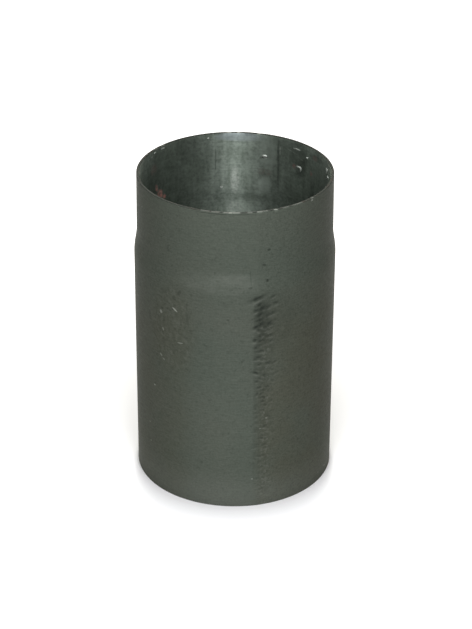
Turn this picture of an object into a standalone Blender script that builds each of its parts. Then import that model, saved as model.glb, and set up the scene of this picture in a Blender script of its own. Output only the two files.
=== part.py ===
# Chimney flue pipe: a short tube rolled from steel sheet and welded along its length.
# The lower end is plain. The upper end is swaged down, so that it slides into the bore
# of the next pipe, whose end then seats on the shoulder.
# Units are metres, +Z is up, and the origin is the centre of the plain end's face.

import math

import bmesh
import bpy

# Driving dimensions
BORE = 0.150  # inside diameter of the body, the nominal size of the pipe
SHEET = 0.002  # thickness of the steel sheet
LENGTH = 0.250  # from end face to end face
NECK_LENGTH = 0.045  # from the rim down to the top of the shoulder
SHOULDER_LENGTH = 0.020  # height over which the tube narrows
NECK_CLEARANCE = 0.0002  # radial play of the neck's root in the next pipe's bore
NECK_TAPER = 0.0005  # how much smaller the neck's radius is at the rim than at its root
EDGE_RADIUS = 0.0003  # deburred corners of both ends
EDGE_LIMIT = 0.45  # the most of the sheet's thickness that one corner may take

# The lengthwise seam
SEAM_ANGLE = math.radians(-76.5)  # where the seam stands, counted from +X
SEAM_FLAT = 0.005  # the strip beside each edge of the sheet that the rolls leave flat
BEAD_WIDTH = 0.008  # weld bead outside, rolled flat, from toe to toe
BEAD_CROWN = 0.0002  # mean height of the bead over the sheet
ROOT_WIDTH = 0.003  # the narrower bead where the weld comes through inside
ROOT_CROWN = 0.00025  # its height over the sheet
RIPPLE_PITCH = 0.0068  # distance between the bead's ripples
RIPPLE_DEPTH = 0.0002  # from the top of a ripple to the hollow beside it
RIPPLE_LEAN = 0.5  # rise of a ripple across the bead, for each unit of width
BEAD_START = 0.004  # where the bead begins over the plain end
BEAD_FADE = 0.006  # length over which each end of the bead runs out into the sheet
TOE_DEPTH = 0.0002  # how deep the bead's long edges lie under the sheet's surface

# Fineness of the facets
ROUND_STEPS = 94  # steps around the rolled stretch
SHOULDER_STEPS = 8
CORNER_STEPS = 2
RIPPLE_STEPS = 4  # rows of facets for each ripple
CROWN_STEPS = 8  # facets across the bead outside
ROOT_STEPS = 4  # facets across the bead inside
CRISP_ANGLE = math.radians(40)  # edges that turn by more than this stay crisp

body_radius = BORE / 2 + SHEET
neck_radius = BORE / 2 - NECK_CLEARANCE
body_height = LENGTH - NECK_LENGTH - SHOULDER_LENGTH
neck_start = LENGTH - NECK_LENGTH
flat_angle = math.atan(SEAM_FLAT / body_radius)
flat_slope = math.tan(flat_angle)  # fall of the flat strips, for each unit of width
seam_peak = 1 / math.cos(flat_angle)


def clear_scene():
    for item in list(bpy.data.objects):
        bpy.data.objects.remove(item, do_unlink=True)


def outside_radius(height):
    # The body is straight, the shoulder is a half wave, and the neck tapers a little.
    if height <= body_height:
        return body_radius
    if height < neck_start:
        share = (height - body_height) / SHOULDER_LENGTH
        drop = (1 - math.cos(math.pi * share)) / 2
        return body_radius + (neck_radius - body_radius) * drop
    return neck_radius - NECK_TAPER * (height - neck_start) / NECK_LENGTH


def corner(radius, height, start_angle, fillet):
    # A quarter turn of deburred edge. radius and height are the centre of the turn.
    points = []
    for step in range(CORNER_STEPS + 1):
        angle = start_angle + math.pi / 2 * step / CORNER_STEPS
        points.append((radius + fillet * math.cos(angle), height + fillet * math.sin(angle)))
    return points


def wall_section():
    # The closed outline of the wall in radius and height, counter-clockwise from the
    # plain end's outer corner: up the outside, over the rim and down the inside.
    fillet = min(EDGE_RADIUS, EDGE_LIMIT * SHEET)
    rim_radius = outside_radius(LENGTH)
    shoulder = [
        body_height + SHOULDER_LENGTH * step / SHOULDER_STEPS
        for step in range(SHOULDER_STEPS + 1)
    ]
    points = corner(body_radius - fillet, fillet, -math.pi / 2, fillet)
    points += [(outside_radius(height), height) for height in shoulder]
    points += corner(rim_radius - fillet, LENGTH - fillet, 0, fillet)
    points += corner(rim_radius - SHEET + fillet, LENGTH - fillet, math.pi / 2, fillet)
    points += [(outside_radius(height) - SHEET, height) for height in reversed(shoulder)]
    points += corner(body_radius - SHEET + fillet, fillet, math.pi, fillet)
    return points


def add_ring(mesh, outline, angle, spread):
    # The wall's outline as a closed wire, standing in the plane at this angle from +X.
    verts = []
    for radius, height in outline:
        reach = radius * spread
        verts.append(mesh.verts.new((reach * math.cos(angle), reach * math.sin(angle), height)))
    edges = [mesh.edges.new((verts[i - 1], verts[i])) for i in range(len(verts))]
    return verts, edges


def rolled_tube():
    # The sheet is rolled round from one flat strip to the other. The strips then run
    # on straight and meet in a faint ridge at the seam, here at +X.
    mesh = bmesh.new()
    outline = wall_section()
    verts, first = add_ring(mesh, outline, flat_angle, 1)
    turned = bmesh.ops.spin(
        mesh,
        geom=verts + first,
        cent=(0, 0, 0),
        axis=(0, 0, 1),
        angle=2 * math.pi - 2 * flat_angle,
        steps=ROUND_STEPS,
    )
    last = [part for part in turned["geom_last"] if isinstance(part, bmesh.types.BMEdge)]
    seam = add_ring(mesh, outline, 0, seam_peak)[1]
    bmesh.ops.bridge_loops(mesh, edges=first + seam)
    bmesh.ops.bridge_loops(mesh, edges=last + seam)
    bmesh.ops.recalc_face_normals(mesh, faces=mesh.faces)
    return mesh


def arch(offset, width, crown):
    # Height of a rounded bead over the seam's ridge, at this distance from its middle.
    # The flat strips fall away on both sides, and the bead meets them at its toes.
    toe = width / 2
    return crown - (crown + toe * flat_slope) * (offset / toe) ** 2


def buried_reach(width, crown):
    # How far the arch runs on past its toes, to lie TOE_DEPTH under the flat strips.
    # There crown - bend * reach ** 2 equals -flat_slope * reach - TOE_DEPTH.
    toe = width / 2
    bend = (crown + toe * flat_slope) / toe ** 2
    spread = math.sqrt(flat_slope ** 2 + 4 * bend * (crown + TOE_DEPTH))
    return (flat_slope + spread) / (2 * bend)


def bead_row(height, strength):
    # One cross-section of the weld metal: over the outside, then back along the inside.
    seam_radius = outside_radius(height) * seam_peak
    sink = (1 - strength) * (BEAD_CROWN + RIPPLE_DEPTH)
    reach = buried_reach(BEAD_WIDTH, BEAD_CROWN)
    row = []
    for step in range(CROWN_STEPS + 1):
        across = reach * (2 * step / CROWN_STEPS - 1)
        phase = 2 * math.pi * (height - RIPPLE_LEAN * across) / RIPPLE_PITCH
        fullness = 1 - (across / reach) ** 2
        ripple = RIPPLE_DEPTH / 2 * math.cos(phase) * fullness
        row.append((seam_radius + arch(across, BEAD_WIDTH, BEAD_CROWN) + ripple - sink, across))
    inner_radius = (outside_radius(height) - SHEET) * seam_peak
    root_toe = ROOT_WIDTH / 2
    root_reach = 2 * root_toe  # past the toes the root's edges lie inside the sheet
    root_sink = (1 - strength) * (ROOT_CROWN + root_reach * flat_slope)
    for step in range(ROOT_STEPS + 1):
        across = root_reach * (1 - 2 * step / ROOT_STEPS)
        rise = ROOT_CROWN * (1 - (across / root_toe) ** 2)
        drop = abs(across) * flat_slope
        row.append((inner_radius - drop - rise + root_sink, across))
    return row


def weld_metal():
    # The bead stands on the body only: the swage presses the neck's seam flush.
    mesh = bmesh.new()
    bead_length = body_height - BEAD_START
    count = max(2, round(bead_length / RIPPLE_PITCH * RIPPLE_STEPS))
    rows = []
    for index in range(count + 1):
        travelled = bead_length * index / count
        to_end = min(travelled, bead_length - travelled)
        strength = min(1, to_end / BEAD_FADE)
        height = BEAD_START + travelled
        row = [mesh.verts.new((x, y, height)) for x, y in bead_row(height, strength)]
        rows.append(row)
    for lower, upper in zip(rows, rows[1:]):
        for i in range(len(lower)):
            mesh.faces.new((lower[i - 1], lower[i], upper[i], upper[i - 1]))
    mesh.faces.new(rows[0])
    mesh.faces.new(rows[-1])
    bmesh.ops.recalc_face_normals(mesh, faces=mesh.faces)
    return mesh


def add_object(name, mesh):
    data = bpy.data.meshes.new(name)
    mesh.to_mesh(data)
    mesh.free()
    data.shade_smooth()
    data.set_sharp_from_angle(angle=CRISP_ANGLE)
    item = bpy.data.objects.new(name, data)
    bpy.context.scene.collection.objects.link(item)
    return item


def stove_paint():
    # Matt grey-green heat-resistant paint on steel.
    material = bpy.data.materials.new("stove_paint")
    material.use_nodes = True
    shader = material.node_tree.nodes["Principled BSDF"]
    shader.inputs["Base Color"].default_value = (0.072, 0.085, 0.069, 1)
    shader.inputs["Roughness"].default_value = 0.55
    shader.inputs["Metallic"].default_value = 0
    return material


def build():
    clear_scene()
    pipe = add_object("flue_pipe", rolled_tube())
    pipe.rotation_euler.z = SEAM_ANGLE
    pipe.data.materials.append(stove_paint())

    weld = add_object("weld_metal", weld_metal())
    weld.parent = pipe
    weld.hide_render = True
    weld.display_type = "WIRE"

    fuse = pipe.modifiers.new("fuse_weld", "BOOLEAN")
    fuse.operation = "UNION"
    fuse.solver = "EXACT"
    fuse.object = weld


build()
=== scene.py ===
import math
import random

import bmesh
import bpy
from mathutils import Matrix, Vector, noise


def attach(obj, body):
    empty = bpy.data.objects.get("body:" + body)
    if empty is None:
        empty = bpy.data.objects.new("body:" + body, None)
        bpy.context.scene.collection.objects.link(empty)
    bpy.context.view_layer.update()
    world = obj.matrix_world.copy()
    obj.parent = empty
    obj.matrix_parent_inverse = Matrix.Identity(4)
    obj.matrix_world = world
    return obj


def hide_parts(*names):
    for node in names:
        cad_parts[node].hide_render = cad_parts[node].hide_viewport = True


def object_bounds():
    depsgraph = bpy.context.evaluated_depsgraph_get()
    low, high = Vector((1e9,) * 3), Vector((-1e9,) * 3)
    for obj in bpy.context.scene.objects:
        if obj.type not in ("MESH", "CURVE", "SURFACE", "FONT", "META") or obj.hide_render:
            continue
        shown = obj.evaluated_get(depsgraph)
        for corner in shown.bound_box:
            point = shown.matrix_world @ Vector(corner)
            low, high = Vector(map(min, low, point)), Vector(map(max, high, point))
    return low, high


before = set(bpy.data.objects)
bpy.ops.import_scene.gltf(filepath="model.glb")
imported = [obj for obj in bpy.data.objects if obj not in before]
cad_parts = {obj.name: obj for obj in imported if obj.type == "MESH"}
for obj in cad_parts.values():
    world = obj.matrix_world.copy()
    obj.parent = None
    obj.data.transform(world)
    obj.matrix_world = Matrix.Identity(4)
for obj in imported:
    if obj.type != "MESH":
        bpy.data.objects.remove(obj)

cadLow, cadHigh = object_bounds()
mm = 0.001

# The pipe's own sizes, in mm. The length and the outside diameter come from the frame.
pipe = {
    "length": (cadHigh.z - cadLow.z) / mm,
    "outside": (cadHigh.x - cadLow.x) / mm,
    "sheet": 2.0,
    "neckLength": 45.0,
    "shoulderLength": 20.0,
    "neckPlay": 0.2,  # between the neck's root and the bore it slides into
    "neckTaper": 0.5,
    "edgeRound": 0.3,
    "seamAngle": -76.5,  # degrees from +X
    "seamFlat": 5.0,  # strip that the rolls leave flat on each side of the seam
}

# How the real sheet departs from a perfect tube, in mm.
unevenness = {
    "wave": 0.07,
    "waveLength": 46.0,
    "waveSink": 0.5,  # share of the wave by which the sheet sinks, to stay within the solid's box
    "shoulderSag": 2.2,  # the stiff weld holds the swage back, so the shoulder sits lower there
    "sagWidth": 16.0,
    "sagShift": 4.0,
    "sagReach": 8.0,  # how far above and below the shoulder the sag runs out
}

# The weld outside: a bead rolled nearly flush, with a hollow for each stroke of the roller.
weld = {
    "width": 8.0,
    "crown": 0.16,
    "start": 4.0,
    "fade": 7.0,
    "rootWidth": 3.0,
    "rootCrown": 0.22,
    "hollow": 0.2,  # how deep the strongest strokes go
    "hollowEdge": 1.2,  # how steeply a hollow's sides rise
    "lip": 0.25,  # metal pushed up under a hollow, as a share of its depth
    "lipEdge": 1.5,
    "lipDrop": 0.9,  # how far under its hollow the lip stands, in widths of the stroke
    "reach": 2.5,  # nothing is left of a stroke past this many of its widths
}

# The strokes: across and up in mm from the seam's foot, length, width, lean and strength.
strokes = [
    (-1.0, 181.6, 13.0, 3.0, 0.34, 0.85),
    (-2.5, 180.9, 6.0, 3.6, 0.34, 0.9),
    (11.0, 181.8, 5.0, 2.0, 0.3, 0.5),
    (0.4, 176.0, 5.5, 2.8, 0.36, 0.9),
    (2.2, 172.9, 5.5, 3.6, 0.36, 1.0),
    (-1.8, 171.8, 5.0, 2.8, 0.3, 0.85),
    (7.7, 173.9, 5.0, 2.6, 0.36, 0.55),
    (13.2, 176.0, 5.0, 2.6, 0.2, 0.65),
    (0.6, 167.6, 6.0, 3.4, 0.38, 0.95),
    (9.8, 167.8, 8.5, 2.4, 0.25, 0.7),
    (0.4, 163.2, 7.0, 2.6, 0.25, 0.95),
    (-4.2, 164.4, 4.5, 1.8, 0.3, 0.5),
    (1.4, 159.8, 6.0, 4.6, 0.36, 1.0),
    (8.8, 159.6, 5.0, 4.0, 0.3, 0.85),
    (12.6, 161.5, 4.0, 1.8, 0.3, 0.4),
    (-1.8, 157.8, 5.5, 3.0, 0.4, 1.0),
    (0.0, 155.0, 4.0, 2.6, -0.3, 0.7),
    (5.4, 156.7, 3.6, 2.0, 0.0, 0.6),
    (9.6, 155.4, 5.0, 1.8, 0.2, 0.35),
    (1.2, 149.4, 5.0, 3.0, 0.2, 0.55),
    (8.9, 149.4, 6.0, 2.2, 0.2, 0.6),
    (-2.8, 146.6, 4.6, 2.6, 0.1, 0.95),
    (1.8, 145.8, 6.0, 3.0, 0.1, 0.85),
    (9.8, 144.6, 5.0, 2.0, 0.0, 0.45),
    (1.0, 142.4, 5.0, 2.0, 0.1, 0.6),
    (-1.6, 140.2, 4.0, 2.4, 0.1, 0.85),
    (1.3, 137.0, 7.0, 2.2, 0.0, 0.8),
    (0.0, 132.2, 5.0, 3.4, 0.1, 0.7),
    (-2.6, 130.5, 3.0, 2.0, 0.0, 0.6),
    (3.5, 129.8, 3.0, 2.0, 0.0, 0.5),
]

# Lower down they are fine ticks in three ragged columns, made by a loop.
ticks = {
    "top": 126.0,
    "bottom": 8.0,
    "columns": ((0.6, 4.0, 0.75), (4.4, 5.0, 0.6), (10.5, 6.5, 0.4)),  # across, pitch, strength at the top
    "scatter": 3.2,
    "length": 5.4,
    "width": 1.9,
    "least": 0.2,  # strength at the bottom, as a share of that at the top
    "lengths": (0.35, 1.15),  # the least and the most that a tick's length may be, as shares
    "widths": (0.8, 1.3),
    "depths": (0.45, 1.4),
    "gaps": (0.5, 1.4),
    "leans": (-0.3, 0.35),  # the least and the most that a tick climbs, for each mm across
    "seed": 11,
}


def fineTicks():
    pick = random.Random(ticks["seed"])
    made = []
    for middle, pitch, strength in ticks["columns"]:
        height = ticks["top"]
        while height > ticks["bottom"]:
            share = (height - ticks["bottom"]) / (ticks["top"] - ticks["bottom"])
            across = middle + pick.uniform(-1, 1) * ticks["scatter"]
            length = ticks["length"] * pick.uniform(*ticks["lengths"])
            width = ticks["width"] * pick.uniform(*ticks["widths"])
            lean = pick.uniform(*ticks["leans"])
            fading = ticks["least"] + (1 - ticks["least"]) * share
            depth = strength * fading * pick.uniform(*ticks["depths"])
            made.append((across, height, length, width, lean, depth))
            height -= pitch * pick.uniform(*ticks["gaps"])
    return made


strokes += fineTicks()

outerRadius = pipe["outside"] / 2
boreRadius = outerRadius - pipe["sheet"]
neckRoot = boreRadius - pipe["neckPlay"]
neckStart = pipe["length"] - pipe["neckLength"]
bodyTop = neckStart - pipe["shoulderLength"]
flatAngle = math.atan(pipe["seamFlat"] / outerRadius)
seamAngle = math.radians(pipe["seamAngle"])

# Knocks on the rim of the mouth: degrees from +X, length in mm and strength.
rimKnocks = [
    (-107.0, 9.0, 0.3),
    (-101.0, 8.0, 0.35),
    (-95.0, 6.0, 0.5),
    (-92.5, 3.5, 1.0),
    (-89.5, 8.0, 0.75),
    (-81.5, 5.0, 0.45),
    (-76.0, 6.0, 0.6),
    (-72.5, 5.0, 0.4),
    (-66.5, 4.0, 0.8),
    (-60.0, 7.0, 0.3),
    (-52.0, 12.0, 0.3),
    (-40.0, 3.0, 0.5),
    (94.0, 5.0, 0.9),
    (88.0, 4.0, 0.9),
    (75.5, 4.0, 1.0),
    (140.0, 6.0, 0.4),
    (147.0, 5.0, 0.35),
]
knockDepth = 0.2  # mm


def smooth(low, high, value):
    share = min(1.0, max(0.0, (value - low) / (high - low)))
    return share * share * (3 - 2 * share)


def fromSeam(azimuth):
    # degrees from +X turned to radians from the seam, between -pi and pi
    return math.radians((azimuth - pipe["seamAngle"] + 180.0) % 360.0 - 180.0)


def sheetRadius(height):
    # outside radius in mm: straight body, half-wave shoulder, slightly tapered neck
    if height <= bodyTop:
        return outerRadius
    if height < neckStart:
        share = (height - bodyTop) / pipe["shoulderLength"]
        return outerRadius + (neckRoot - outerRadius) * (1 - math.cos(math.pi * share)) / 2
    return neckRoot - pipe["neckTaper"] * (height - neckStart) / pipe["neckLength"]


def strokeDepth(across, height):
    # up to 1 in the roller's hollows, below 0 on the lip under each of them
    deepest, highest = 0.0, 0.0
    for centre, level, length, width, lean, strength in strokes:
        dx = across - centre
        dy = height - level - lean * dx
        if abs(dx) > length or abs(dy) > weld["reach"] * width:
            continue
        side = (2 * dx / length) ** 2
        within = side + (2 * dy / width) ** 2
        deepest = max(deepest, strength * math.exp(-weld["hollowEdge"] * within))
        under = side + (2 * (dy + weld["lipDrop"] * width) / width) ** 2
        highest = max(highest, strength * weld["lip"] * math.exp(-weld["lipEdge"] * under))
    return deepest - highest * (1 - deepest)


def beadHeight(across, height):
    # the rolled bead over the flat strips, with its ends run out
    toe = weld["width"] / 2
    if abs(across) > toe or height > bodyTop or height < weld["start"]:
        return 0.0
    toEnd = min(height - weld["start"], bodyTop - height)
    arch = (1 - (across / toe) ** 2) ** 2
    return weld["crown"] * arch * smooth(0, weld["fade"], toEnd)


def surfaceRadius(angle, height, side):
    # angle is counted from the seam, in radians; side is 1 outside and 0 inside
    across = angle * outerRadius
    offset = (across - unevenness["sagShift"]) / unevenness["sagWidth"]
    reach = unevenness["sagReach"]
    risen = smooth(bodyTop - reach, bodyTop, height)
    gone = smooth(neckStart, neckStart + reach, height)
    sag = unevenness["shoulderSag"] * math.exp(-(offset ** 2)) * (risen * (1 - gone))
    radius = sheetRadius(height + sag)
    if side == 0:
        radius -= pipe["sheet"]
    if abs(angle) < flatAngle:
        radius /= math.cos(flatAngle - abs(angle))
    spot = Vector((math.cos(angle), math.sin(angle), height / outerRadius))
    wave = noise.noise(spot * outerRadius / unevenness["waveLength"])
    radius += unevenness["wave"] * (wave - unevenness["waveSink"])
    if side == 1:
        radius += beadHeight(across, height) - weld["hollow"] * strokeDepth(across, height)
    else:
        toe = weld["rootWidth"] / 2
        if abs(across) < toe and weld["start"] < height < bodyTop:
            radius -= weld["rootCrown"] * (1 - (across / toe) ** 2)
    return radius


def rimDent(angle):
    # how far the rim's top is knocked down here, in mm
    deepest = 0.0
    for azimuth, length, strength in rimKnocks:
        offset = (angle - fromSeam(azimuth) + math.pi) % (2 * math.pi) - math.pi
        deepest = max(deepest, strength * math.exp(-((2 * offset * outerRadius / length) ** 2)))
    return knockDepth * deepest


# Spacing of the mesh in mm: fine at the seam and its strokes, plainer elsewhere.
spacing = {
    "fineReach": 18.0,
    "fineAcross": 0.75,
    "plainAcross": 3.5,
    "fineUp": 0.75,
    "fineOver": 2.0,  # how far over the body's top the rows stay fine
    "plainUp": 1.6,
    "insideUp": 3.2,
    "cornerSteps": 4,
}


def columnAngles():
    reach = spacing["fineReach"]
    count = round(2 * reach / spacing["fineAcross"])
    fine = [(-reach + 2 * reach * i / count) / outerRadius for i in range(count + 1)]
    rest = 2 * math.pi - 2 * fine[-1]
    plain = round(rest * outerRadius / spacing["plainAcross"])
    return fine + [fine[-1] + rest * i / plain for i in range(1, plain)]


def outsideHeights(bottom, top):
    heights = []
    height = bottom
    while height < top - spacing["fineUp"] / 2:
        heights.append(height)
        height += spacing["fineUp"] if height < bodyTop + spacing["fineOver"] else spacing["plainUp"]
    return heights + [top]


def wallRows():
    # (height, inset from the wall's face, side, zone), one turn round the wall's section
    turn, steps = pipe["edgeRound"], spacing["cornerSteps"]
    quarter = [math.pi / 2 * i / steps for i in range(1, steps + 1)]
    bottom, top = turn, pipe["length"] - turn
    rows = [(height, 0.0, 1, "outside") for height in outsideHeights(bottom, top)]
    for a in quarter:
        rows.append((top + turn * math.sin(a), turn * (1 - math.cos(a)), 1, "rim"))
    rows.append((pipe["length"], pipe["sheet"] / 2, 1, "rim"))
    for a in reversed(quarter):
        rows.append((top + turn * math.sin(a), turn * (1 - math.cos(a)), 0, "rim"))
    count = round((top - bottom) / spacing["insideUp"])
    for i in range(count + 1):
        rows.append((top + (bottom - top) * i / count, 0.0, 0, "inside"))
    for a in quarter:
        rows.append((bottom - turn * math.sin(a), turn * (1 - math.cos(a)), 0, "rim"))
    rows.append((0.0, pipe["sheet"] / 2, 0, "rim"))
    for a in reversed(quarter):
        rows.append((bottom - turn * math.sin(a), turn * (1 - math.cos(a)), 1, "rim"))
    return rows


slotOf = {"outside": 0, "inside": 1, "rim": 2}


def buildPipe():
    # the wall's section is carried round the pipe column by column, and closed on itself
    angles, rows = columnAngles(), wallRows()
    mesh = bmesh.new()
    unrolled = mesh.loops.layers.uv.new("unrolled")
    rolledIn = mesh.verts.layers.float.new("rolledIn")
    columns = []
    for angle in angles:
        column = []
        dent = rimDent(angle)
        for height, inset, side, zone in rows:
            reach = surfaceRadius(angle, height, side) + (inset if side == 0 else -inset)
            turned = seamAngle + angle
            level = height - dent if zone == "rim" and height > bodyTop else height
            spot = (reach * math.cos(turned) * mm, reach * math.sin(turned) * mm, level * mm)
            vertex = mesh.verts.new(spot)
            if zone == "outside":
                vertex[rolledIn] = strokeDepth(angle * outerRadius, height)
            column.append(vertex)
        columns.append(column)
    for c, column in enumerate(columns):
        following = columns[(c + 1) % len(columns)]
        start = angles[c]
        end = angles[c + 1] if c + 1 < len(angles) else 2 * math.pi + angles[0]
        if start >= math.pi:
            start, end = start - 2 * math.pi, end - 2 * math.pi
        for r in range(len(rows)):
            s = (r + 1) % len(rows)
            face = mesh.faces.new((column[r], following[r], following[s], column[s]))
            face.smooth = True
            zones = {rows[r][3], rows[s][3]}
            face.material_index = slotOf["rim"] if len(zones) > 1 else slotOf[rows[r][3]]
            corners = ((start, r), (end, r), (end, s), (start, s))
            for loop, (angle, row) in zip(face.loops, corners):
                loop[unrolled].uv = (angle * outerRadius * mm, rows[row][0] * mm)
    data = bpy.data.meshes.new("pipeWall")
    mesh.to_mesh(data)
    mesh.free()
    made = bpy.data.objects.new("pipeWall", data)
    bpy.context.scene.collection.objects.link(made)
    return made


# Drops of metal that the welding threw on the bore: degrees from +X, height,
# length round the bore, length up it and how proud they stand, in mm.
spatter = {
    "drops": [
        (71.6, 231.2, 5.2, 3.4, 0.7),
        (47.3, 229.2, 5.2, 2.0, 0.6),
        (45.6, 227.4, 2.0, 3.4, 0.5),
        (48.7, 243.8, 8.0, 1.2, 0.3),
        (40.1, 239.9, 2.4, 1.7, 0.5),
        (15.8, 241.0, 3.0, 5.4, 0.6),
        (13.8, 236.8, 3.2, 3.0, 0.5),
        (106.9, 246.2, 2.4, 1.6, 0.4),
        (140.4, 247.6, 4.2, 1.3, 0.3),
        (148.5, 247.4, 2.8, 1.4, 0.3),
    ],
    "around": 16,
    "rings": 10,
    "ragged": 0.22,  # how uneven a drop's outline is, as a share
    "lumps": 1.7,  # how many lumps there are to a drop's radius
}


def buildSpatter():
    # each drop is a flattened ball, sunk to its middle in the wall
    mesh = bmesh.new()
    for azimuth, height, length, rise, proud in spatter["drops"]:
        angle = math.radians(azimuth)
        radius = surfaceRadius(fromSeam(azimuth), height, 0)
        outward = Vector((math.cos(angle), math.sin(angle), 0.0))
        along = Vector((-math.sin(angle), math.cos(angle), 0.0))
        middle = outward * radius + Vector((0.0, 0.0, height))
        made = bmesh.ops.create_uvsphere(
            mesh, u_segments=spatter["around"], v_segments=spatter["rings"], radius=1.0)
        for vertex in made["verts"]:
            x, y, z = vertex.co
            swell = 1 + spatter["ragged"] * noise.noise(vertex.co * spatter["lumps"] + middle)
            spot = middle + along * (x * swell * length / 2) - outward * (y * proud)
            vertex.co = (spot + Vector((0.0, 0.0, z * swell * rise / 2))) * mm
    for face in mesh.faces:
        face.smooth = True
    bmesh.ops.recalc_face_normals(mesh, faces=mesh.faces)
    data = bpy.data.meshes.new("weldSpatter")
    mesh.to_mesh(data)
    mesh.free()
    made = bpy.data.objects.new("weldSpatter", data)
    bpy.context.scene.collection.objects.link(made)
    return made


def linear(code):
    # an sRGB hex value turned to linear light
    parts = [int(code[i:i + 2], 16) / 255 for i in (1, 3, 5)]
    return [v / 12.92 if v <= 0.04045 else ((v + 0.055) / 1.055) ** 2.4 for v in parts] + [1.0]


def addNode(tree, kind, links=None, **settings):
    # adds a node, sets its properties, and fills its inputs with sockets, hex colours or values
    node = tree.nodes.new(kind)
    for name, value in settings.items():
        setattr(node, name, value)
    for name, value in (links or {}).items():
        if isinstance(value, bpy.types.NodeSocket):
            tree.links.new(value, node.inputs[name])
        else:
            node.inputs[name].default_value = linear(value) if isinstance(value, str) else value
    return node


def newMaterial(name):
    material = bpy.data.materials.new(name)
    material.use_nodes = True
    return material, material.node_tree, material.node_tree.nodes["Principled BSDF"]


# What all the patches and marks of the finishes share.
drawing = {
    "patchDetail": 3.0,
    "notchSize": 1.6,  # mm, the notches in the edge of a mark
    "notchDetail": 2.0,
    "softEdge": 0.5,  # share of a mark's radius over which it comes up
}


def pipePlaces(tree, ragged):
    # the place in the solid pipe, and the sheet unrolled flat with its places pushed about
    # by `ragged` mm, so that what is drawn on it gets an uneven edge; both are in metres
    body = addNode(tree, "ShaderNodeTexCoord").outputs["Object"]
    flat = addNode(tree, "ShaderNodeUVMap", uv_map="unrolled").outputs["UV"]
    push = addNode(tree, "ShaderNodeTexNoise", {
        "Vector": body, "Scale": 1 / (drawing["notchSize"] * mm), "Detail": drawing["notchDetail"],
    })
    centred = addNode(tree, "ShaderNodeVectorMath", {
        0: push.outputs["Color"], 1: (0.5, 0.5, 0.5),
    }, operation="SUBTRACT")
    reach = (2 * ragged * mm, 2 * ragged * mm, 0.0)
    moved = addNode(tree, "ShaderNodeVectorMath", {
        0: centred.outputs[0], 1: reach, 2: flat,
    }, operation="MULTIPLY_ADD")
    return body, moved.outputs[0]


def patches(tree, body, size, low, high, shift=0.0, stretch=(1.0, 1.0, 1.0)):
    # a noise of this size in mm, turned to 0 to 1 between the levels low and high; the shift
    # is in metres and keeps two finishes from showing the same pattern
    moved = addNode(tree, "ShaderNodeMapping", {
        "Vector": body, "Location": (shift, shift / 2, shift / 3), "Scale": stretch,
    })
    grain = addNode(tree, "ShaderNodeTexNoise", {
        "Vector": moved.outputs[0], "Scale": 1 / (size * mm), "Detail": drawing["patchDetail"],
    })
    return addNode(tree, "ShaderNodeMapRange", {
        "Value": grain.outputs["Fac"], "From Min": low, "From Max": high,
    }).outputs[0]


def between(tree, place, *stretches):
    # 0 to 1 round the pipe or up it. Each stretch runs from its start to where it is full, in mm.
    share = 1.0
    for start, full in stretches:
        slope = addNode(tree, "ShaderNodeMapRange", {
            "Value": place, "From Min": start * mm, "From Max": full * mm,
        }, interpolation_type="SMOOTHSTEP")
        both = addNode(tree, "ShaderNodeMath", {0: share, 1: slope.outputs[0]}, operation="MULTIPLY")
        share = both.outputs[0]
    return share


def marks(tree, sheet, wanted):
    # 0 to 1 over each mark: (degrees from +X, height, length, width, turn in degrees, strength)
    total = 0.0
    for azimuth, height, length, width, turn, strength in wanted:
        local = addNode(tree, "ShaderNodeMapping", {
            "Vector": sheet,
            "Location": (fromSeam(azimuth) * outerRadius * mm, height * mm, 0.0),
            "Rotation": (0.0, 0.0, math.radians(turn)),
            "Scale": (length / 2 * mm, width / 2 * mm, 1.0),
        }, vector_type="TEXTURE")
        ball = addNode(tree, "ShaderNodeTexGradient", {
            "Vector": local.outputs[0],
        }, gradient_type="SPHERICAL")
        edge = addNode(tree, "ShaderNodeMapRange", {
            "Value": ball.outputs["Fac"], "From Max": drawing["softEdge"], "To Max": strength,
        }, interpolation_type="SMOOTHSTEP")
        most = addNode(tree, "ShaderNodeMath", {0: total, 1: edge.outputs[0]}, operation="MAXIMUM")
        total = most.outputs[0]
    return total


def finishMasks(tree, finish, body, sheet):
    # the patches and marks that a finish names, each as a mask from 0 to 1
    masks = {}
    for name, values in finish["patches"].items():
        masks[name] = patches(tree, body, *values)
    for name, wanted in finish["marks"].items():
        masks[name] = marks(tree, sheet, wanted)
    return masks


def layOver(tree, finish, layers, tone, masks):
    # lays one colour of the finish after another over the tone, where all the masks overlap
    for colour, strength, *names in layers:
        share = strength
        for name in names:
            both = addNode(tree, "ShaderNodeMath", {0: share, 1: masks[name]}, operation="MULTIPLY")
            share = both.outputs[0]
        mixed = addNode(tree, "ShaderNodeMix", {0: share, 6: tone, 7: finish[colour]}, data_type="RGBA")
        tone = mixed.outputs[2]
    return tone


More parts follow.
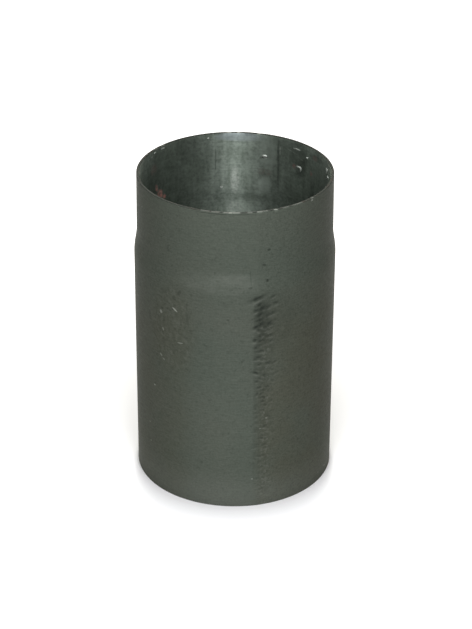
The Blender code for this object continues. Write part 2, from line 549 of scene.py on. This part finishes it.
# Heat-resistant silicone paint, sprayed on rolled steel and handled since.
stovePaint = {
    "colour": "#464b43",
    "cool": "#424941",
    "warm": "#434439",
    "dark": "#1c211c",
    # pale of rubbed and scratched paint, also used for the painted highlights and the painted lighter foot
    "paleWearAndHighlight": "#8f938a",
    "dust": "#8a5f1c",
    "roughness": 0.6,
    "roughnessSpread": 0.07,  # either way, from the grain
    "specular": 0.05,
    "dustSheen": 0.03,
    "ragged": 0.35,  # mm, how uneven the edges of the marks are
    "grainLevels": (0.2, 1.8),  # where grain and speckle together are darkest and lightest
    "grainTones": (0.87, 1.13),
    "lineBump": 0.35,
    "lineDepth": 0.05,  # mm
    "speckleBump": 0.6,
    "speckleDepth": 0.06,  # mm
    "lipHighlightRise": 2.0,  # how fast the pale lip under a stroke comes up: a painted highlight for the light the raised metal catches, and paint rubbed pale
    # size in mm, the noise's levels where a patch begins and is full, shift, stretch
    "patches": {
        "clouds": (62.0, 0.38, 0.62),
        "warmth": (31.0, 0.1, 0.6, 0.31),
        "smudges": (3.4, 0.6, 0.74, 3.1),
        "grain": (0.9, 0.3, 0.7, 0.0, (0.18, 0.18, 1.0)),  # rolling lines, coarse enough to show
        "speckle": (1.5, 0.3, 0.7),
        "grit": (1.3, 0.5, 0.72, 1.3),
        # breaks up the painted shoulder highlight
        "shoulderHighlightBreakup": (9.0, 0.25, 0.75, 0.2, (0.5, 0.5, 1.0)),
        "rubs": (4.5, 0.5, 0.7, 0.7),
        "bruises": (2.8, 0.5, 0.7, 1.9),
        "uneven": (5.0, 0.0, 0.6, 2.3),
        "broken": (1.4, 0.24, 0.44, 0.0, (0.7, 0.7, 1.0)),
        "flecks": (2.4, 0.5, 0.72, 4.2),
    },
    # mm round the pipe from the seam: where a stretch starts and is full, on each of its sides
    "around": {
        "besideWeld": ((-6.0, 6.0), (150.0, 60.0)),
        "leftSide": ((-46.0, -66.0), (-190.0, -140.0)),
        "onWeld": ((-4.6, -2.8), (15.0, 5.0)),
        "weldMiddle": ((-1.0, 4.0), (15.0, 6.0)),
    },
    # mm up the pipe, the same way
    "upward": {
        "lowerBody": ((205.0, 130.0),),
        "foot": ((40.0, 4.0),),
        # the foot, painted lighter for the light the floor bounces onto it
        "paintedFootLight": ((38.0, 2.0),),
        "weldLength": ((-20.0, 150.0), (186.0, 178.0)),
        "lowerWeld": ((186.0, 150.0),),
    },
    # degrees from +X, height, length, width, turn in degrees, strength
    "marks": {
        "scuffed": [(-128.0, 148.0, 56.0, 96.0, 0.0, 1.0)],
        "stained": [  # the wider stain of the weld's end, and its dark middle
            (-67.0, 160.0, 46.0, 62.0, 0.0, 0.16),
            (-74.0, 163.0, 13.0, 44.0, 0.0, 0.38),
        ],
        # a painted highlight across the front of the shoulder
        "paintedShoulderHighlight": [
            (-98.0, 193.0, 84.0, 22.0, 0.0, 0.1),
            (-91.0, 195.0, 50.0, 15.0, 0.0, 0.14),
        ],
        "dotsAndRimShadow": [  # dark pits and drips beside the seam, on the neck and lower down, and a painted shadow line under the front of the rim
            (-70.5, 219.0, 3.4, 2.4, 0.0, 0.6),
            (-73.1, 207.0, 4.4, 2.4, -20.0, 0.5),
            (-71.5, 194.5, 2.6, 3.0, 0.0, 0.65),
            (-81.2, 190.0, 4.4, 2.2, 5.0, 0.35),
            (-81.0, 198.0, 1.2, 17.0, 4.0, 0.25),
            (-93.5, 164.0, 3.0, 2.2, 0.0, 0.4),
            (-122.0, 180.6, 7.0, 3.4, 60.0, 0.3),
            (-125.5, 174.5, 7.0, 2.6, -35.0, 0.2),
            (-117.0, 160.0, 3.0, 15.0, 10.0, 0.2),
            (-129.5, 163.5, 9.0, 2.0, -10.0, 0.25),
            (-146.0, 151.0, 3.0, 10.0, 0.0, 0.25),
            # a painted shadow line under the rim's front edge
            (-96.0, 248.7, 62.0, 1.3, 0.0, 0.45),
            (-118.0, 144.0, 4.0, 4.5, 0.0, 0.22),
            (-134.0, 141.5, 3.0, 4.5, 0.0, 0.25),
            (-117.5, 170.0, 2.0, 9.0, 0.0, 0.22),
            (-126.4, 165.0, 3.0, 2.2, 0.0, 0.4),
            (-134.5, 162.5, 3.2, 2.4, 0.0, 0.35),
            (-64.0, 186.0, 2.0, 1.4, 0.0, 0.3),
        ],
        "scratches": [  # pale scratches and specks that go through to the metal
            (-125.2, 165.2, 6.6, 1.6, -30.0, 0.65),
            (-135.5, 159.0, 3.4, 4.0, 25.0, 0.4),
            (-134.0, 145.0, 2.2, 3.6, 15.0, 0.3),
            (-121.8, 138.2, 6.0, 1.6, 6.0, 0.3),
            (-136.0, 121.8, 3.8, 2.0, -30.0, 0.3),
            (-133.8, 119.0, 3.4, 1.6, -25.0, 0.3),
            (-142.3, 91.6, 2.6, 1.8, 0.0, 0.45),
            (-148.0, 55.0, 1.8, 1.4, 0.0, 0.4),
            (-147.3, 38.2, 1.6, 1.6, 0.0, 0.4),
            (-158.0, 233.0, 1.8, 1.6, 0.0, 0.4),
            (-21.5, 7.3, 2.2, 1.6, 0.0, 0.5),
            (-30.3, 7.5, 1.8, 1.4, 0.0, 0.4),
            (-71.6, 77.9, 1.8, 1.4, 0.0, 0.3),
            (-75.1, 69.4, 2.0, 1.2, 0.0, 0.25),
            (-79.5, 24.6, 1.8, 1.4, 0.0, 0.35),
            (-41.0, 248.6, 3.0, 2.2, 0.0, 0.6),
        ],
    },
    # colour, strength and the masks that have to overlap
    "film": [
        ("cool", 0.6, "clouds"),
        ("warm", 0.6, "warmth", "lowerBody", "besideWeld"),
        ("warm", 0.35, "warmth", "lowerBody", "leftSide"),
        ("dark", 0.25, "smudges"),
        ("warm", 0.25, "scuffed"),  # the scuffed patch is a little browner
    ],
    "wear": [
        ("dark", 0.28, "grit", "besideWeld"),
        ("dark", 0.25, "grit", "foot"),
        # painted light: the foot lighter, for the floor's bounce
        ("paleWearAndHighlight", 0.12, "paintedFootLight"),
        ("paleWearAndHighlight", 1.0, "shoulderHighlightBreakup", "paintedShoulderHighlight"),  # painted highlight on the shoulder, for the light its upward slope catches
        ("paleWearAndHighlight", 0.06, "scuffed", "rubs"),
        ("dark", 0.22, "scuffed", "bruises"),
        ("dark", 0.27, "uneven", "weldLength", "onWeld"),  # the weld's stain, all the way down
        ("dark", 1.0, "stained", "uneven"),
        ("dark", 1.0, "stroke", "broken"),  # the strokes, with broken edges
        ("paleWearAndHighlight", 0.35, "lip"),  # painted highlight on the metal pushed up under each, for the light it catches, with the paint rubbed pale there
        ("paleWearAndHighlight", 0.12, "flecks", "lowerWeld", "weldMiddle"),
        ("dark", 1.0, "dotsAndRimShadow"),
        ("paleWearAndHighlight", 1.0, "scratches"),
    ],
}


def siliconeStovePaint():
    # The eye gets a matt grey-green film, a little browner beside the weld, that keeps a trace
    # of the rolling lines. The weld shows through it as a dark, ragged ladder of strokes.
    # Painted light in this finish: a highlight on the shoulder, a lighter foot, a shadow line under the
    # rim and highlights on the lips under the strokes.
    material, tree, shader = newMaterial("siliconeStovePaint")
    body, sheet = pipePlaces(tree, stovePaint["ragged"])
    masks = finishMasks(tree, stovePaint, body, sheet)
    place = addNode(tree, "ShaderNodeSeparateXYZ", {0: sheet})
    for name, stretches in stovePaint["around"].items():
        masks[name] = between(tree, place.outputs["X"], *stretches)
    for name, stretches in stovePaint["upward"].items():
        masks[name] = between(tree, place.outputs["Y"], *stretches)
    masks["stroke"] = addNode(tree, "ShaderNodeAttribute", attribute_name="rolledIn").outputs["Fac"]
    lip = addNode(tree, "ShaderNodeMath", {
        0: masks["stroke"], 1: -stovePaint["lipHighlightRise"],
    }, operation="MULTIPLY", use_clamp=True)
    masks["lip"] = lip.outputs[0]

    tone = layOver(tree, stovePaint, stovePaint["film"], stovePaint["colour"], masks)
    both = addNode(tree, "ShaderNodeMath", {0: masks["grain"], 1: masks["speckle"]}, operation="ADD")
    lowest, highest = stovePaint["grainLevels"]
    darkest, lightest = stovePaint["grainTones"]
    fine = addNode(tree, "ShaderNodeMapRange", {
        "Value": both.outputs[0], "From Min": lowest, "From Max": highest,
        "To Min": darkest, "To Max": lightest,
    }).outputs[0]
    grey = addNode(tree, "ShaderNodeCombineXYZ", {0: fine, 1: fine, 2: fine})
    grained = addNode(tree, "ShaderNodeMix", {
        0: 1.0, 6: tone, 7: grey.outputs[0],
    }, data_type="RGBA", blend_type="MULTIPLY")
    tone = layOver(tree, stovePaint, stovePaint["wear"], grained.outputs[2], masks)
    tree.links.new(tone, shader.inputs["Base Color"])

    rough = addNode(tree, "ShaderNodeMapRange", {
        "Value": fine, "From Min": darkest, "From Max": lightest,
        "To Min": stovePaint["roughness"] + stovePaint["roughnessSpread"],
        "To Max": stovePaint["roughness"] - stovePaint["roughnessSpread"],
    })
    tree.links.new(rough.outputs[0], shader.inputs["Roughness"])
    shader.inputs["Specular IOR Level"].default_value = stovePaint["specular"]
    shader.inputs["Sheen Weight"].default_value = stovePaint["dustSheen"]
    shader.inputs["Sheen Tint"].default_value = linear(stovePaint["dust"])
    lines = addNode(tree, "ShaderNodeBump", {
        "Height": masks["grain"], "Strength": stovePaint["lineBump"],
        "Distance": stovePaint["lineDepth"] * mm,
    })
    film = addNode(tree, "ShaderNodeBump", {
        "Height": masks["speckle"], "Strength": stovePaint["speckleBump"],
        "Distance": stovePaint["speckleDepth"] * mm, "Normal": lines.outputs[0],
    })
    tree.links.new(film.outputs[0], shader.inputs["Normal"])
    return material


# Bare rolled sheet inside the bore, with a thin oxide.
boreSteel = {
    "colour": "#808a80",
    "light": "#98a298",
    "shade": "#5a6359",
    "mist": "#878f97",
    "dark": "#2c322c",
    "pale": "#d3d6cf",
    "rust": "#805d54",
    "rustDark": "#33211d",
    "roughness": (0.51, 0.59),  # between the clouds, and in them
    "anisotropic": 0.8,  # the grain runs round the bore, so a light is drawn out upwards
    "grainTurn": 0.25,  # of a full turn
    "ragged": 0.6,  # mm
    "lineBump": 0.25,
    "lineDepth": 0.03,  # mm
    "patches": {
        "clouds": (22.0, 0.4, 0.62),
        "streaks": (5.0, 0.35, 0.65, 0.0, (1.0, 1.0, 0.12)),
        "lines": (0.8, 0.3, 0.7, 0.0, (0.05, 0.05, 1.0)),  # rolling lines, coarse enough to show
        "blotches": (6.0, 0.35, 0.65, 0.9, (0.6, 0.6, 1.4)),
        "mottle": (2.2, 0.42, 0.66, 0.4),
        "eaten": (2.6, 0.35, 0.6, 0.5),
        "grainy": (2.2, 0.7, 0.35, 0.8),
    },
    "marks": {
        "runsAndShadeBand": [  # dark runs down the bore, under the rim, and a painted shade band where the shoulder inside turns down
            (102.4, 227.0, 1.8, 26.0, 0.0, 0.45),
            (62.4, 226.0, 2.6, 60.0, 0.0, 0.4),
            (62.9, 238.0, 1.2, 10.0, 0.0, 0.5),
            (36.0, 205.0, 10.0, 44.0, 10.0, 0.3),
            (128.0, 215.0, 16.0, 60.0, -8.0, 0.2),
            (45.0, 229.0, 14.0, 22.0, 20.0, 0.4),
            (90.2, 242.2, 60.0, 1.0, 0.0, 0.2),
            (73.5, 229.6, 5.0, 3.0, 0.0, 0.35),
            (30.0, 243.5, 24.0, 6.0, 0.0, 0.35),
            (143.0, 222.0, 50.0, 70.0, 0.0, 0.28),
            # painted shade: a darker band across the inner shoulder, for the darker reflection there
            (92.0, 195.0, 70.0, 9.0, 0.0, 0.17),
            (90.0, 249.0, 60.0, 4.0, 0.0, 0.35),
            (101.0, 215.0, 9.0, 60.0, 0.0, 0.12),
            (122.0, 241.0, 30.0, 34.0, 0.0, 0.3),
            (48.0, 240.0, 26.0, 34.0, 0.0, 0.26),
        ],
        "wash": [  # a round tide mark, and the lighter stretch over it
            (71.3, 206.8, 15.0, 18.0, 0.0, 0.45),
            (69.0, 236.0, 18.0, 40.0, 0.0, 0.28),
        ],
        "breath": [(88.0, 246.8, 52.0, 9.5, 0.0, 0.3)],  # a bluish haze under the rim
        "rusty": [
            (143.5, 210.3, 9.0, 11.0, -40.0, 1.0),
            (147.0, 217.0, 5.0, 8.0, -20.0, 0.8),
            (139.5, 206.5, 5.0, 5.0, 0.0, 0.9),
            (50.8, 228.6, 5.0, 5.0, 0.0, 0.45),
            (32.2, 243.0, 8.0, 6.0, 0.0, 0.3),
            (36.1, 228.4, 5.0, 5.0, 0.0, 0.35),
            (71.5, 218.0, 16.0, 8.0, 0.0, 0.12),
            (150.0, 234.0, 12.0, 12.0, 0.0, 0.2),
        ],
        "knocksAndHighlights": [  # knocks and drips, pale, and painted highlights down the back of the bore
            (61.2, 238.5, 1.3, 10.0, 0.0, 0.3),
            (52.0, 240.5, 14.0, 1.0, 14.0, 0.22),
            (46.0, 237.0, 10.0, 1.0, 20.0, 0.18),
            (58.8, 199.3, 6.0, 1.2, 40.0, 0.2),
            (56.0, 196.0, 2.0, 8.0, 0.0, 0.15),
            # this line and the next two are painted highlights on the band of light down the back of the
            # bore
            (90.3, 183.5, 15.0, 17.0, 0.0, 0.1),
            (90.3, 181.0, 7.0, 9.0, 0.0, 0.1),
            (90.3, 209.0, 9.0, 30.0, 0.0, 0.22),
            (90.7, 203.9, 4.0, 4.0, 0.0, 0.3),
            (98.6, 203.4, 3.6, 2.6, 0.0, 0.5),
            (151.8, 245.4, 4.0, 2.0, 0.0, 0.3),
        ],
    },
    "layers": [
        ("shade", 0.7, "clouds"),
        ("light", 0.35, "streaks"),
        ("shade", 0.3, "lines"),
        ("dark", 0.18, "blotches"),
        ("dark", 0.3, "mottle"),
        ("dark", 1.0, "runsAndShadeBand"),
        ("light", 1.0, "wash"),
        ("mist", 1.0, "breath"),
        ("rustDark", 0.8, "rusty"),
        ("rust", 1.0, "rusty", "eaten"),
        ("pale", 1.0, "grainy", "knocksAndHighlights"),
    ],
}


def hotRolledSteel():
    # The eye gets dark grey metal that draws a light out into one soft upright band, crossed
    # by fine rolling lines, with tide marks, runs and a spot of rust.
    # Painted light too: pale highlights down the back of the bore and a shade band across its shoulder.
    material, tree, shader = newMaterial("hotRolledSteel")
    body, sheet = pipePlaces(tree, boreSteel["ragged"])
    masks = finishMasks(tree, boreSteel, body, sheet)
    tone = layOver(tree, boreSteel, boreSteel["layers"], boreSteel["colour"], masks)
    tree.links.new(tone, shader.inputs["Base Color"])

    # the rust isn't metal
    metal = addNode(tree, "ShaderNodeMath", {
        0: 1.0, 1: masks["rusty"],
    }, operation="SUBTRACT", use_clamp=True)
    tree.links.new(metal.outputs[0], shader.inputs["Metallic"])
    smoother, rougher = boreSteel["roughness"]
    rough = addNode(tree, "ShaderNodeMapRange", {
        "Value": masks["clouds"], "To Min": smoother, "To Max": rougher,
    })
    tree.links.new(rough.outputs[0], shader.inputs["Roughness"])
    shader.inputs["Anisotropic"].default_value = boreSteel["anisotropic"]
    shader.inputs["Anisotropic Rotation"].default_value = boreSteel["grainTurn"]
    rolled = addNode(tree, "ShaderNodeBump", {
        "Height": masks["lines"], "Strength": boreSteel["lineBump"],
        "Distance": boreSteel["lineDepth"] * mm,
    })
    tree.links.new(rolled.outputs[0], shader.inputs["Normal"])
    return material


# The sheet's sheared edge, painted over and rubbed bare in places.
cutEdge = {
    "painted": "#2a2e29",
    "bare": "#8f948c",
    "rust": "#3a3029",
    "roughness": 0.6,
    "specular": 0.05,
    "bareMetal": 0.5,  # how metallic the edge is where it was knocked hardest
    "ragged": 0.5,  # mm
    "rubHeight": 6.0,  # mm, the width of the marks that the knocks leave
    "burrBump": 0.4,
    "burrDepth": 0.08,  # mm
    "patches": {
        "rusty": (9.0, 0.55, 0.7, 1.1),
        "burr": (1.1, 0.2, 0.8),
    },
    "marks": {},
    "layers": [
        ("rust", 0.4, "rusty"),
        ("bare", 0.5, "worn"),
    ],
}


def shearedEdge():
    # The eye gets a thin dull line round the mouth that flashes bare metal where it was knocked.
    material, tree, shader = newMaterial("shearedEdge")
    body, sheet = pipePlaces(tree, cutEdge["ragged"])
    masks = finishMasks(tree, cutEdge, body, sheet)
    knocked = []
    for azimuth, length, strength in rimKnocks:
        knocked.append((azimuth, pipe["length"], length, cutEdge["rubHeight"], 0.0, strength))
    masks["worn"] = marks(tree, sheet, knocked)
    tone = layOver(tree, cutEdge, cutEdge["layers"], cutEdge["painted"], masks)
    tree.links.new(tone, shader.inputs["Base Color"])
    metal = addNode(tree, "ShaderNodeMath", {
        0: masks["worn"], 1: cutEdge["bareMetal"],
    }, operation="MULTIPLY")
    tree.links.new(metal.outputs[0], shader.inputs["Metallic"])
    shader.inputs["Roughness"].default_value = cutEdge["roughness"]
    shader.inputs["Specular IOR Level"].default_value = cutEdge["specular"]
    bump = addNode(tree, "ShaderNodeBump", {
        "Height": masks["burr"], "Strength": cutEdge["burrBump"], "Distance": cutEdge["burrDepth"] * mm,
    })
    tree.links.new(bump.outputs[0], shader.inputs["Normal"])
    return material


# Welding spatter: steel that froze as bright drops.
spatterSteel = {
    "colour": "#b0b5ae",
    "shade": "#6c726b",
    "roughness": 0.5,
    "grainBump": 0.4,
    "grainDepth": 0.1,  # mm
    "patches": {"grain": (0.7, 0.4, 0.7)},
    "marks": {},
    "layers": [("shade", 0.8, "grain")],
}


def frozenSpatter():
    # The eye gets a bright pinpoint on each drop, with a duller foot.
    material, tree, shader = newMaterial("frozenSpatter")
    body = addNode(tree, "ShaderNodeTexCoord").outputs["Object"]
    masks = finishMasks(tree, spatterSteel, body, None)
    tone = layOver(tree, spatterSteel, spatterSteel["layers"], spatterSteel["colour"], masks)
    tree.links.new(tone, shader.inputs["Base Color"])
    shader.inputs["Metallic"].default_value = 1.0
    shader.inputs["Roughness"].default_value = spatterSteel["roughness"]
    bump = addNode(tree, "ShaderNodeBump", {
        "Height": masks["grain"], "Strength": spatterSteel["grainBump"],
        "Distance": spatterSteel["grainDepth"] * mm,
    })
    tree.links.new(bump.outputs[0], shader.inputs["Normal"])
    return material


wall = buildPipe()
for material in (siliconeStovePaint(), hotRolledSteel(), shearedEdge()):
    wall.data.materials.append(material)
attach(wall, "root")
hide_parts("flue_pipe")
print("pipe wall:", len(wall.data.polygons), "faces")

drops = buildSpatter()
drops.data.materials.append(frozenSpatter())
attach(drops, "root")
print("weld spatter:", len(spatter["drops"]), "drops")

# The studio: plain soft light over white paper.
studio = {
    "floorSize": 6.0,
    "floorColour": "#ecedec",
    "floorLift": (0.13, 0.9),  # how much whiter the floor shows near the pipe, and far from it
    "floorReach": (0.08, 0.4),  # metres from the pipe's axis
    "ambient": 0.07,
    "ambientColour": "#fff6e8",
}

# Each lamp's place, size and target are in metres.
lamps = {
    "upperStrip": {
        "place": (0.0, -0.26, 0.45), "size": (0.13, 0.2), "watts": 1.35, "colour": "#fbfaff",
        "aim": (0.0, 0.0, 0.19),
    },
    "lowerStrip": {
        "place": (0.0, -0.28, 0.06), "size": (0.12, 0.11), "watts": 0.28, "colour": "#fbfaff",
        "aim": (0.0, 0.0, 0.06),
    },
    "topSoftbox": {
        "place": (0.0, 0.8, 10.0), "size": (0.36, 1.7), "watts": 565.0, "colour": "#fdfeff",
        "aim": (0.0, 0.8, 0.0),
    },
    "backSoftbox": {
        "place": (0.0, 1.8, 1.1), "size": (1.4, 0.8), "watts": 17.0, "colour": "#fff4e4",
        "aim": (0.0, 0.0, 0.12),
    },
}


def areaLight(name, lamp):
    data = bpy.data.lights.new(name, "AREA")
    data.shape = "RECTANGLE"
    data.size, data.size_y = lamp["size"]
    data.energy = lamp["watts"]
    data.color = linear(lamp["colour"])[:3]
    made = bpy.data.objects.new(name, data)
    made.location = lamp["place"]
    facing = Vector(lamp["aim"]) - made.location
    made.rotation_euler = facing.to_track_quat("-Z", "Y").to_euler()
    made.visible_camera = False
    bpy.context.scene.collection.objects.link(made)


def seenDirectly(tree):
    # 1 for what the camera sees, and for what metal and glass mirror
    path = addNode(tree, "ShaderNodeLightPath")
    seen = addNode(tree, "ShaderNodeMath", {
        0: path.outputs["Is Camera Ray"], 1: path.outputs["Is Glossy Ray"],
    }, operation="MAXIMUM")
    return addNode(tree, "ShaderNodeMath", {
        0: seen.outputs[0], 1: path.outputs["Is Transmission Ray"],
    }, operation="MAXIMUM").outputs[0]


def paperFloor():
    # matt white paper. The camera, and what mirrors it, see it as white with a soft shadow.
    material, tree, shader = newMaterial("whitePaper")
    tree.nodes.remove(shader)
    paper = addNode(tree, "ShaderNodeBsdfDiffuse", {"Color": studio["floorColour"]})
    place = addNode(tree, "ShaderNodeTexCoord").outputs["Object"]
    away = addNode(tree, "ShaderNodeVectorMath", {0: place}, operation="LENGTH").outputs["Value"]
    near, far = studio["floorReach"]
    least, most = studio["floorLift"]
    strength = addNode(tree, "ShaderNodeMapRange", {
        "Value": away, "From Min": near, "From Max": far, "To Min": least, "To Max": most,
    }).outputs[0]
    lift = addNode(tree, "ShaderNodeEmission", {"Color": "#ffffff", "Strength": strength})
    both = addNode(tree, "ShaderNodeAddShader", {0: paper.outputs[0], 1: lift.outputs[0]})
    mixed = addNode(tree, "ShaderNodeMixShader", {
        0: seenDirectly(tree), 1: paper.outputs[0], 2: both.outputs[0],
    })
    tree.links.new(mixed.outputs[0], tree.nodes["Material Output"].inputs["Surface"])
    bpy.ops.mesh.primitive_plane_add(size=studio["floorSize"])
    floor = bpy.context.object
    floor.name = "paperFloor"
    floor.data.materials.append(material)


def roomLight():
    # the room lights the pipe evenly and shows as white
    world = bpy.data.worlds.new("plainRoom")
    bpy.context.scene.world = world
    world.use_nodes = True
    tree = world.node_tree
    dim = addNode(tree, "ShaderNodeBackground", {
        "Color": studio["ambientColour"], "Strength": studio["ambient"],
    })
    white = addNode(tree, "ShaderNodeBackground", {"Color": "#ffffff", "Strength": 1.0})
    mixed = addNode(tree, "ShaderNodeMixShader", {
        0: seenDirectly(tree), 1: dim.outputs[0], 2: white.outputs[0],
    })
    tree.links.new(mixed.outputs[0], tree.nodes["World Output"].inputs["Surface"])


# The camera, from the photograph: place in mm, pitch and roll in degrees, focal length in pixels.
camera = {
    "place": (1.1, -1373.2, 867.5),
    "pitch": 28.32,
    "roll": 0.28,
    "focal": 2004.3,
    "longSide": 629.0,
    "sensor": 36.0,
    "clipEnd": 50.0,  # metres
}


def photoCamera():
    data = bpy.data.cameras.new("photoCamera")
    data.sensor_width = camera["sensor"]
    data.lens = camera["focal"] * camera["sensor"] / camera["longSide"]
    data.clip_end = camera["clipEnd"]
    made = bpy.data.objects.new("photoCamera", data)
    made.location = [v * mm for v in camera["place"]]
    tilt = Matrix.Rotation(math.radians(90 - camera["pitch"]), 4, "X")
    made.rotation_euler = (tilt @ Matrix.Rotation(math.radians(camera["roll"]), 4, "Z")).to_euler()
    bpy.context.scene.collection.objects.link(made)
    bpy.context.scene.camera = made


paperFloor()
roomLight()
for name, lamp in lamps.items():
    areaLight(name, lamp)
photoCamera()
bpy.context.scene.view_settings.view_transform = "Standard"
print("studio ready:", len(lamps), "lamps")
